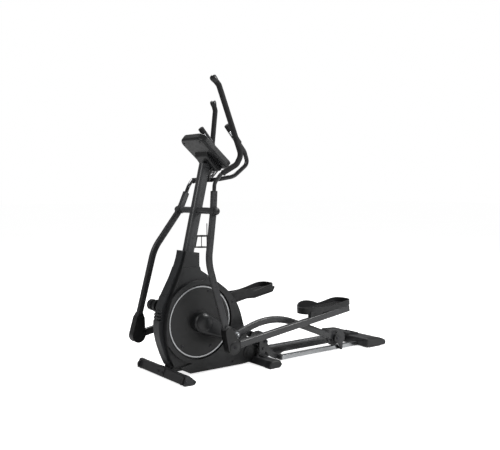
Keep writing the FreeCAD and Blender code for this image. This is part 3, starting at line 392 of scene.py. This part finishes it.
def add_frame_bolts(radius):
    bm = bmesh.new()
    slope = Vector((-0.943, 0, 0.333))
    for y in (-22, 22):
        hex_bolt(bm, near_crank(-228.5, y, 32), slope, radius, 7 * MM)
    for y in (-26, 26):
        hex_bolt(bm, near_crank(1288, y, 73), (-0.07, 0, 1), radius, 6 * MM)
        hex_bolt(bm, near_crank(530, y * 2.6, 62), (0, 0, 1), radius, 6 * MM)
    for y in (-1, 1):
        hex_bolt(bm, near_crank(452, y * 117, 132), (0, y, 0), radius, 6 * MM)
        hex_bolt(bm, near_crank(432, y * 110, 92), (0, y, 0), radius * 0.9, 6 * MM)
    piece("frame_bolts", bm, "black_zinc", "frame")


def add_joint_caps():
    """Caps and bolts on the pivots of both linkages."""
    for side, sign in SIDES:
        out = (0, sign, 0)
        pivot = JOINTS[side + "_swing"]
        bm = bmesh.new()
        turned(bm, [(0, 0), (19 * MM, 0), (18 * MM, 3 * MM), (11 * MM, 5 * MM), (0, 5.6 * MM)],
               facing(Vector((pivot.x, sign * 212 * MM, pivot.z)), out), 40)
        piece("pivot_cap_" + side, bm, "boot", "frame")
        bm = bmesh.new()
        turned(bm, [(51 * MM, -1 * MM), (50 * MM, 3 * MM), (44 * MM, 7.5 * MM), (28 * MM, 10.5 * MM),
                    (0, 11.5 * MM)],
               facing(Vector((CRANK.x, sign * 116 * MM, CRANK.z)), out), 56)
        piece("boot_dome_" + side, bm, "boot", "crank")
        elbow = JOINTS[side + "_elbow"]
        bm = bmesh.new()
        turned(bm, [(33 * MM, -0.5 * MM), (33 * MM, 1.6 * MM), (30 * MM, 3 * MM), (13 * MM, 3.6 * MM),
                    (12 * MM, 2.4 * MM), (0, 2.4 * MM)],
               facing(Vector((elbow.x, sign * 242.5 * MM, elbow.z)), out), 48)
        piece("elbow_cap_" + side, bm, "boot", side + "_swing")
        bm = bmesh.new()
        socket_screw(bm, Vector((elbow.x, sign * 244.9 * MM, elbow.z)), out, 9 * MM)
        piece("elbow_screw_" + side, bm, "black_zinc", side + "_swing")
        wheel = JOINTS[side + "_link_tilt"]
        bm = bmesh.new()
        turned(bm, [(0, 0), (27 * MM, 0), (26 * MM, 2.2 * MM), (16 * MM, 3 * MM), (0, 3 * MM)],
               facing(Vector((wheel.x, sign * 172 * MM, wheel.z)), out), 40)
        piece("roller_cap_" + side, bm, "boot", side + "_carriage")
        bm = bmesh.new()
        hex_bolt(bm, Vector((wheel.x, sign * 175 * MM, wheel.z)), out, 7 * MM, 6 * MM)
        piece("roller_bolt_" + side, bm, "black_zinc", side + "_carriage")
        bm = bmesh.new()
        for height in (60, 92):
            spot = on_swing(side, sign, -3.0, 193.5 + (height - 60) * 0.06, height)
            hex_bolt(bm, spot, out, 5 * MM, 5 * MM)
        piece("socket_bolts_" + side, bm, "black_zinc", side + "_swing")
        axle = JOINTS[side + "_transport_spin"]
        bm = bmesh.new()
        hex_bolt(bm, Vector((axle.x, sign * 262 * MM, axle.z)), out, 6 * MM, 5 * MM)
        piece("transport_bolt_" + side, bm, "black_zinc", "frame")
        hub_low, hub_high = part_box("hub_caps")
        bm = bmesh.new()
        hub = Vector(((hub_low.x + hub_high.x) / 2, sign * hub_high.y, (hub_low.z + hub_high.z) / 2))
        turned(bm, [(22 * MM, -0.5 * MM), (22 * MM, 1.2 * MM), (19 * MM, 1.2 * MM), (18 * MM, 0.2 * MM),
                    (0, 0.2 * MM)], facing(hub, out), 40)
        piece("hub_cap_ring_" + side, bm, "boot", "frame")


CONSOLE_TURN = math.radians(41)


def on_console(x, y, z):
    """A point given in millimetres down the slope, across and above the console's face."""
    place = Matrix.Translation(near_crank(-4, 0, 1391)) @ Matrix.Rotation(CONSOLE_TURN, 4, "Y")
    return place @ Matrix.Translation(Vector((x, y, z)) * MM)


def add_console_details():
    bm = bmesh.new()
    for y in (-79, 79):
        bar(bm, (113 * MM, 5 * MM, 3 * MM), on_console(83, y, 0.2), 1 * MM)
    for x in (29, 137):
        bar(bm, (5 * MM, 160 * MM, 3 * MM), on_console(x, 0, 0.2), 1 * MM)
    piece("display_bezel", bm, "boot", "frame")
    bm = bmesh.new()
    bar(bm, (78 * MM, 118 * MM, 0.8 * MM), on_console(83, 0, -1.3), 0.2 * MM)
    piece("lcd_panel", bm, "lcd", "frame")
    bm = bmesh.new()
    for i, tall in enumerate(BAR_HEIGHTS):
        bar(bm, (tall * MM, 7 * MM, 0.4 * MM), on_console(108 - tall / 2, -47 + 10.4 * i, -0.8))
    for row in (54, 64):
        for i in range(3):
            bar(bm, (5 * MM, 26 * MM, 0.4 * MM), on_console(row, -38 + 38 * i, -0.8))
    piece("lcd_segments", bm, "lcd_ink", "frame")
    bm = bmesh.new()
    for x in (30, 215):
        for y in (-84, 84):
            place = on_console(x, y, -44)
            socket_screw(bm, place.translation, place.to_3x3() @ Vector((0, 0, -1)), 6 * MM)
    piece("console_screws", bm, "black_zinc", "frame")
    bm = bmesh.new()
    bar(bm, (5 * MM, 150 * MM, 3 * MM), on_console(16, 0, -37), 1.2 * MM)
    piece("console_back_strip", bm, "trim", "frame")


def add_grip_details():
    """Pulse plates on the fixed grips, rings and caps on the moving ones."""
    low = near_crank(268, 137, 1292)
    high = near_crank(146, 137, 1434)
    run = (high - low).normalized()
    for side, sign in SIDES:
        flip = Matrix.Diagonal((1, sign, 1, 1))
        for face, start in (("inner", 0.35), ("outer", 0.35 + math.pi)):
            bm = bmesh.new()
            radius = 18.0 * MM
            chain = [(radius - 1 * MM, -36 * MM), (radius + 0.7 * MM, -34 * MM),
                     (radius + 0.7 * MM, 34 * MM), (radius - 1 * MM, 36 * MM)]
            turned(bm, chain, flip @ facing(high - run * 66 * MM, run, start), 20, math.radians(140))
            piece("pulse_plate_%s_%s" % (face, side), bm, "chrome", "frame")
        grip_start = on_swing(side, sign, 32, 231, 215.5)
        grip_next = on_swing(side, sign, 104, 256, 262)
        axis = grip_next - grip_start
        bm = bmesh.new()
        turned(bm, [(11 * MM, -7 * MM), (14 * MM, -7 * MM), (17.6 * MM, -3 * MM), (17.6 * MM, 3 * MM),
                    (16 * MM, 5 * MM)],
               facing(grip_start, axis), 36)
        piece("grip_collar_" + side, bm, "boot", side + "_swing")
        top = on_swing(side, sign, -50, 257, 728)
        lean = top - on_swing(side, sign, -16, 257, 695)
        bm = bmesh.new()
        turned(bm, [(15.6 * MM, -22 * MM), (17.4 * MM, -14 * MM), (19.4 * MM, -2 * MM), (19.6 * MM, 7 * MM),
                    (16.5 * MM, 15 * MM), (9 * MM, 19.5 * MM), (0, 20.5 * MM)],
               facing(top, lean), 36)
        piece("grip_cap_" + side, bm, "boot", side + "_swing")


def add_pedal_treads():
    """Rows of raised rubber studs on the treads."""
    for side, sign in SIDES:
        arm = PEDAL_ARM_TILT[side]
        elbow = JOINTS[side + "_elbow"]
        u, v = PEDAL_CORNER
        corner = Vector((elbow.x + u * math.cos(arm) - v * math.sin(arm), 0,
                         elbow.z + u * math.sin(arm) + v * math.cos(arm)))
        place = Matrix.Translation(corner) @ Matrix.Rotation(-PEDAL_TILT[side], 4, "Y")
        bm = bmesh.new()
        for i in range(8):
            for j in range(5):
                x = 63.5 + 39 * i
                y = sign * (118 + 20 * j)
                spot = place @ Matrix.Translation(Vector((x, y, -17.3)) * MM)
                bar(bm, (14 * MM, 9 * MM, 3 * MM), spot, 1.2 * MM)
        piece("pedal_studs_" + side, bm, "rubber", side + "_pedal")


def add_stage(look):
    """Pale floor, three soft lights, the camera, and surroundings that look white but light dimly."""
    bm = bmesh.new()
    bmesh.ops.create_grid(bm, x_segments=1, y_segments=1, size=40)
    mesh = bpy.data.meshes.new("studio_floor")
    bm.to_mesh(mesh)
    bm.free()
    floor = bpy.data.objects.new("studio_floor", mesh)
    floor.location.z = -FLOOR_DROP
    bpy.context.scene.collection.objects.link(floor)
    f = Finish("studio_floor")
    f.tint(f.ramp(f.noise(0.6), 0, 1), (0.86, 0.86, 0.86), (0.9, 0.9, 0.9))
    f.constant(Roughness=0.9, Specular_IOR_Level=0.0)
    f.shader.inputs["Emission Color"].default_value = (1, 1, 1, 1)
    glow = f.tree.nodes.new("ShaderNodeMath")
    glow.operation = "MULTIPLY"
    glow.inputs[1].default_value = look.floor_glow
    f.link(f.tree.nodes.new("ShaderNodeLightPath").outputs["Is Camera Ray"], glow.inputs[0])
    f.link(glow.outputs[0], f.shader.inputs["Emission Strength"])
    mesh.materials.append(f.material)
    world = bpy.data.worlds.new("studio")
    world.use_nodes = True
    tree = world.node_tree
    surroundings = tree.nodes["Background"]
    surroundings.inputs["Color"].default_value = (1, 1, 1, 1)
    surroundings.inputs["Strength"].default_value = look.world_strength
    backdrop = tree.nodes.new("ShaderNodeBackground")
    backdrop.inputs["Color"].default_value = (1, 1, 1, 1)
    seen = tree.nodes.new("ShaderNodeLightPath").outputs["Is Camera Ray"]
    blend = tree.nodes.new("ShaderNodeMixShader")
    tree.links.new(seen, blend.inputs[0])
    tree.links.new(surroundings.outputs[0], blend.inputs[1])
    tree.links.new(backdrop.outputs[0], blend.inputs[2])
    tree.links.new(blend.outputs[0], tree.nodes["World Output"].inputs["Surface"])
    bpy.context.scene.world = world
    for name, where, size, power in LAMPS:
        lamp = bpy.data.lights.new(name, "AREA")
        lamp.size = size
        lamp.energy = power
        holder = bpy.data.objects.new(name, lamp)
        holder.location = where
        holder.rotation_euler = (Vector(LAMP_TARGET) - Vector(where)).to_track_quat("-Z", "Y").to_euler()
        bpy.context.scene.collection.objects.link(holder)
    camera = bpy.data.cameras.new("studio_camera")
    camera.lens = look.lens
    camera.sensor_width = 36
    camera.clip_end = 200
    holder = bpy.data.objects.new("studio_camera", camera)
    holder.location = (CRANK.x + CAMERA_FROM_CRANK[0], *CAMERA_FROM_CRANK[1:])
    turn = look.camera_turn
    drop = look.camera_drop
    view = Vector((math.sin(turn) * math.cos(drop), math.cos(turn) * math.cos(drop), -math.sin(drop)))
    holder.rotation_euler = view.to_track_quat("-Z", "Y").to_euler()
    bpy.context.scene.collection.objects.link(holder)
    bpy.context.scene.camera = holder
    bpy.context.scene.view_settings.view_transform = "Standard"


# ---- add-on ----------------------------------------------------------------------------------------
class TrainerFinishes(bpy.types.PropertyGroup):
    """Colours of the painted and moulded pieces."""

    frame_colour: bpy.props.FloatVectorProperty(
        name="Frame", description="Powder coat of beams and brackets", subtype="COLOR",
        default=(0.022, 0.0225, 0.024))
    # Painted light: the arm and mast colours are the frame coat made lighter, standing in for the key light
    # on their side faces.
    arm_lit_colour: bpy.props.FloatVectorProperty(
        name="Arms", description="Powder coat of the swing, pedal and roller arms", subtype="COLOR",
        default=(0.03, 0.0305, 0.032))
    mast_lit_colour: bpy.props.FloatVectorProperty(
        name="Mast", description="Powder coat of the mast", subtype="COLOR",
        default=(0.042, 0.043, 0.045))
    housing_colour: bpy.props.FloatVectorProperty(
        name="Housing", description="Moulded plastic of housing and covers", subtype="COLOR",
        default=(0.0085, 0.009, 0.0098))


class TrainerFittings(bpy.types.PropertyGroup):
    """Sizes of the small fittings."""

    edge_round: bpy.props.FloatProperty(
        name="Edge round", description="Round on hard edges", unit="LENGTH", default=0.0012, min=0.0002)
    screw_radius: bpy.props.FloatProperty(
        name="Cover screw radius", description="Head radius of the cover screws", unit="LENGTH",
        default=0.0075)
    bolt_radius: bpy.props.FloatProperty(
        name="Frame bolt radius", description="Size of the frame bolts", unit="LENGTH", default=0.0075)


class TrainerStudio(bpy.types.PropertyGroup):
    """Light and camera."""

    world_strength: bpy.props.FloatProperty(
        name="World", description="Brightness of the white surroundings", default=0.22, min=0)
    floor_glow: bpy.props.FloatProperty(
        name="Floor glow", description="Light given off by the floor itself", default=0.8, min=0)
    lens: bpy.props.FloatProperty(name="Lens", description="Focal length in millimetres", default=50.2)
    camera_turn: bpy.props.FloatProperty(
        name="Camera turn", description="Heading of the camera from +Y towards +X", subtype="ANGLE",
        default=math.radians(37.4))
    camera_drop: bpy.props.FloatProperty(
        name="Camera drop", description="How far the camera looks down", subtype="ANGLE",
        default=math.radians(3.1))


class TRAINER_OT_finishes(bpy.types.Operator):
    """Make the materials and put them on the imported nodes"""

    bl_idname = "trainer.finishes"
    bl_label = "Finishes"

    def execute(self, context):
        mix_finishes(context.scene.trainer_finishes)
        for name in NODES:
            dress_node(name, context.scene.trainer_fittings.edge_round)
        return {"FINISHED"}


class TRAINER_OT_cover_screws(bpy.types.Operator):
    """Screws of the housing and the crank discs"""

    bl_idname = "trainer.cover_screws"
    bl_label = "Cover screws"

    def execute(self, context):
        add_cover_screws(context.scene.trainer_fittings.screw_radius)
        return {"FINISHED"}


class TRAINER_OT_frame_bolts(bpy.types.Operator):
    """Hexagon bolts of the frame"""

    bl_idname = "trainer.frame_bolts"
    bl_label = "Frame bolts"

    def execute(self, context):
        add_frame_bolts(context.scene.trainer_fittings.bolt_radius)
        return {"FINISHED"}


class TRAINER_OT_joint_caps(bpy.types.Operator):
    """Caps and bolts on the pivots"""

    bl_idname = "trainer.joint_caps"
    bl_label = "Joint caps"

    def execute(self, context):
        add_joint_caps()
        return {"FINISHED"}


class TRAINER_OT_console_details(bpy.types.Operator):
    """Display, bezel, screws and strip of the console"""

    bl_idname = "trainer.console_details"
    bl_label = "Console details"

    def execute(self, context):
        add_console_details()
        return {"FINISHED"}


class TRAINER_OT_grip_details(bpy.types.Operator):
    """Pulse plates, grip collars and caps"""

    bl_idname = "trainer.grip_details"
    bl_label = "Grip details"

    def execute(self, context):
        add_grip_details()
        return {"FINISHED"}


class TRAINER_OT_pedal_treads(bpy.types.Operator):
    """Rubber studs on the pedals"""

    bl_idname = "trainer.pedal_treads"
    bl_label = "Pedal treads"

    def execute(self, context):
        add_pedal_treads()
        return {"FINISHED"}


class TRAINER_OT_stage(bpy.types.Operator):
    """Floor, lights and camera"""

    bl_idname = "trainer.stage"
    bl_label = "Studio"

    def execute(self, context):
        add_stage(context.scene.trainer_studio)
        return {"FINISHED"}


STEPS = (TRAINER_OT_finishes, TRAINER_OT_cover_screws, TRAINER_OT_frame_bolts, TRAINER_OT_joint_caps,
         TRAINER_OT_console_details, TRAINER_OT_grip_details, TRAINER_OT_pedal_treads, TRAINER_OT_stage)
GROUPS = (("trainer_finishes", TrainerFinishes), ("trainer_fittings", TrainerFittings),
          ("trainer_studio", TrainerStudio))


class TRAINER_PT_panel(bpy.types.Panel):
    """Steps and settings of the trainer"""

    bl_label = "Elliptical trainer"
    bl_idname = "TRAINER_PT_panel"
    bl_space_type = "VIEW_3D"
    bl_region_type = "UI"
    bl_category = "Trainer"

    def draw(self, context):
        for step in STEPS:
            self.layout.operator(step.bl_idname)
        for name, group in GROUPS:
            settings = getattr(context.scene, name)
            box = self.layout.box()
            for key in group.__annotations__:
                box.prop(settings, key)


def register():
    for name, group in GROUPS:
        bpy.utils.register_class(group)
        setattr(bpy.types.Scene, name, bpy.props.PointerProperty(type=group))
    for cls in STEPS + (TRAINER_PT_panel,):
        bpy.utils.register_class(cls)


def unregister():
    for cls in reversed(STEPS + (TRAINER_PT_panel,)):
        bpy.utils.unregister_class(cls)
    for name, group in reversed(GROUPS):
        delattr(bpy.types.Scene, name)
        bpy.utils.unregister_class(group)


def main():
    register()
    bpy.ops.trainer.finishes()
    bpy.ops.trainer.cover_screws()
    bpy.ops.trainer.frame_bolts()
    bpy.ops.trainer.joint_caps()
    bpy.ops.trainer.console_details()
    bpy.ops.trainer.grip_details()
    bpy.ops.trainer.pedal_treads()
    bpy.ops.trainer.stage()


if __name__ == "__main__":
    main()
